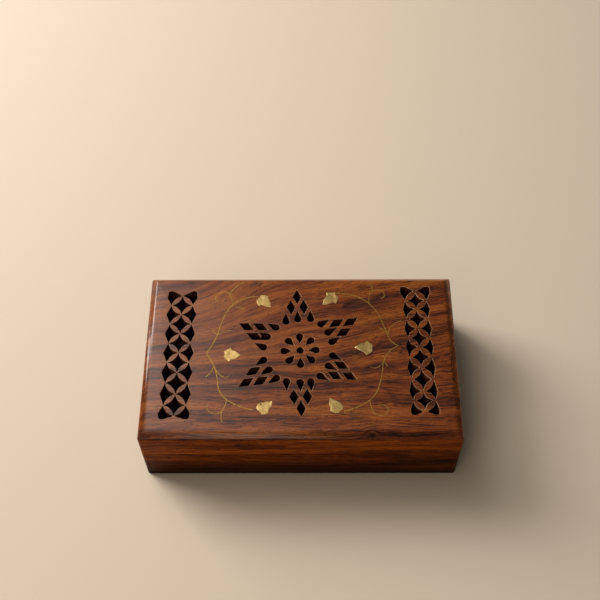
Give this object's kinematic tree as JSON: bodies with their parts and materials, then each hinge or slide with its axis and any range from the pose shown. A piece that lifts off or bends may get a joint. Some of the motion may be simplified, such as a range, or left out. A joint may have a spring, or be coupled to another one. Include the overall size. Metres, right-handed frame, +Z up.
{
  "type": "jewellery box",
  "caption": "Rectangular hinged wooden box with a pierced lid of star, rosette and lattice strips, inlaid with brass leaves and wire vines, and lined with velvet.",
  "frame": {"origin": "centre of the box's footprint, on the surface it stands on", "axes": "+X along the box to the right as seen from the front, +Y towards the hinges at the back, +Z up"},
  "size_m": [0.254, 0.15, 0.07],
  "materials": {
    "sheesham": "waxed, open grain",
    "inlay_brass": "hand-cut sheet, rubbed flush",
    "inlay_wire": "flattened wire, sanded flush and dulled",
    "hinge_brass": "pressed and lightly polished",
    "brass_screws": "turned",
    "steel_brads": "dull wire nails",
    "velvet": "short pile velvet on card"
  },
  "bodies": {
    "base": {"back_velvet": "velvet", "base_back_board": "sheesham", "base_floor_panel": "sheesham", "base_front_board": "sheesham", "base_left_board": "sheesham", "base_right_board": "sheesham", "floor_brads": "steel_brads", "floor_velvet": "velvet", "front_velvet": "velvet", "hinge_left_base_leaf": "hinge_brass", "hinge_left_base_screws": "brass_screws", "hinge_left_pin": "hinge_brass", "hinge_right_base_leaf": "hinge_brass", "hinge_right_base_screws": "brass_screws", "hinge_right_pin": "hinge_brass", "left_velvet": "velvet", "right_velvet": "velvet"},
    "lid": {"hinge_left_lid_leaf": "hinge_brass", "hinge_left_lid_screws": "brass_screws", "hinge_right_lid_leaf": "hinge_brass", "hinge_right_lid_screws": "brass_screws", "leaf_left": "inlay_brass", "leaf_lower_left": "inlay_brass", "leaf_lower_right": "inlay_brass", "leaf_right": "inlay_brass", "leaf_upper_left": "inlay_brass", "leaf_upper_right": "inlay_brass", "lid_back_rail": "sheesham", "lid_front_rail": "sheesham", "lid_left_rail": "sheesham", "lid_pierced_board": "sheesham", "lid_right_rail": "sheesham", "vine_lower_left_curl": "inlay_wire", "vine_lower_left_shoot": "inlay_wire", "vine_lower_left_short_tendril": "inlay_wire", "vine_lower_left_stem": "inlay_wire", "vine_lower_left_tendril": "inlay_wire", "vine_lower_right_curl": "inlay_wire", "vine_lower_right_short_tendril": "inlay_wire", "vine_lower_right_stem": "inlay_wire", "vine_lower_right_tendril": "inlay_wire", "vine_upper_left_curl": "inlay_wire", "vine_upper_left_shoot": "inlay_wire", "vine_upper_left_short_tendril": "inlay_wire", "vine_upper_left_stem": "inlay_wire", "vine_upper_left_stray_arc": "inlay_wire", "vine_upper_left_tendril": "inlay_wire", "vine_upper_right_branch": "inlay_wire", "vine_upper_right_curl": "inlay_wire", "vine_upper_right_shoot": "inlay_wire", "vine_upper_right_stem": "inlay_wire", "vine_upper_right_tendril": "inlay_wire"}
  },
  "joints": [
    {"name": "lid_hinge", "type": "hinge", "parent": "base", "child": "lid", "pos_m": [0, 0.0718, 0.038], "axis": [-1, 0, 0], "range_deg": [0, 100]}
  ]
}
